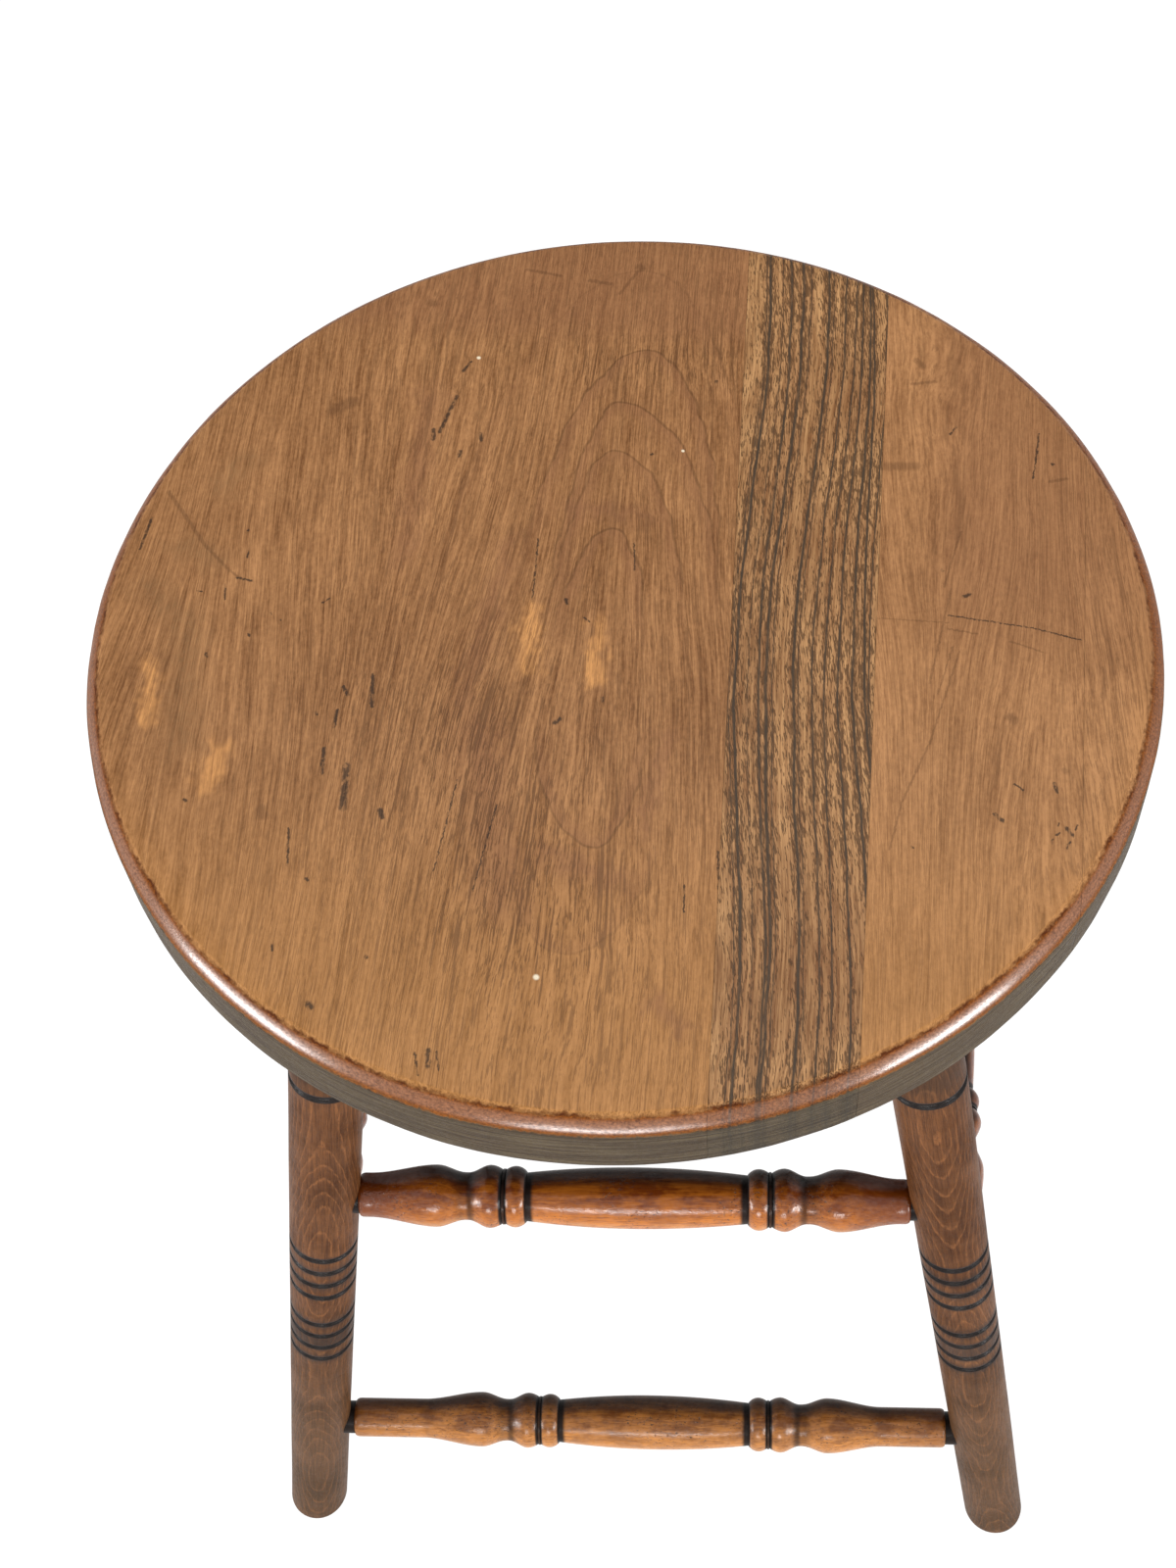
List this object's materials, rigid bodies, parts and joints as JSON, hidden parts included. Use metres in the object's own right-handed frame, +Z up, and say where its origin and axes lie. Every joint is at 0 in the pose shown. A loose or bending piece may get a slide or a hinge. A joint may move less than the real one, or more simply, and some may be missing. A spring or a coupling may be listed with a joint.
{
  "type": "round wooden stool",
  "caption": "Round wooden stool: a flat glued-up board seat on splayed turned legs, braced by six bead-and-ball turned stretchers.",
  "frame": {"origin": "on the floor under the middle of the seat", "axes": "+Z up from the floor to the seat, +X to the right as seen from the front, +Y towards the back, along the seat's grain"},
  "size_m": [0.343, 0.343, 0.46],
  "materials": {
    "seat_wood": "satin, worn, close-grained",
    "open_grain_seat_wood": "satin, worn, with open dark pores",
    "leg_wood": "dull satin, worn, darkened lines",
    "upper_stretcher_wood": "glossy, dark in the recesses",
    "lower_stretcher_wood": "satin, worn lighter"
  },
  "bodies": {
    "root": {"seat_board_wide": "seat_wood", "seat_board_strip": "open_grain_seat_wood", "seat_board_right": "open_grain_seat_wood", "seat_board_edge": "open_grain_seat_wood", "leg_front_left": "leg_wood", "leg_front_right": "leg_wood", "leg_back_left": "leg_wood", "leg_back_right": "leg_wood", "stretcher_front_upper": "upper_stretcher_wood", "stretcher_back_upper": "upper_stretcher_wood", "stretcher_left_upper": "upper_stretcher_wood", "stretcher_right_upper": "upper_stretcher_wood", "stretcher_front_lower": "lower_stretcher_wood", "stretcher_back_lower": "lower_stretcher_wood"}
  },
  "joints": []
}
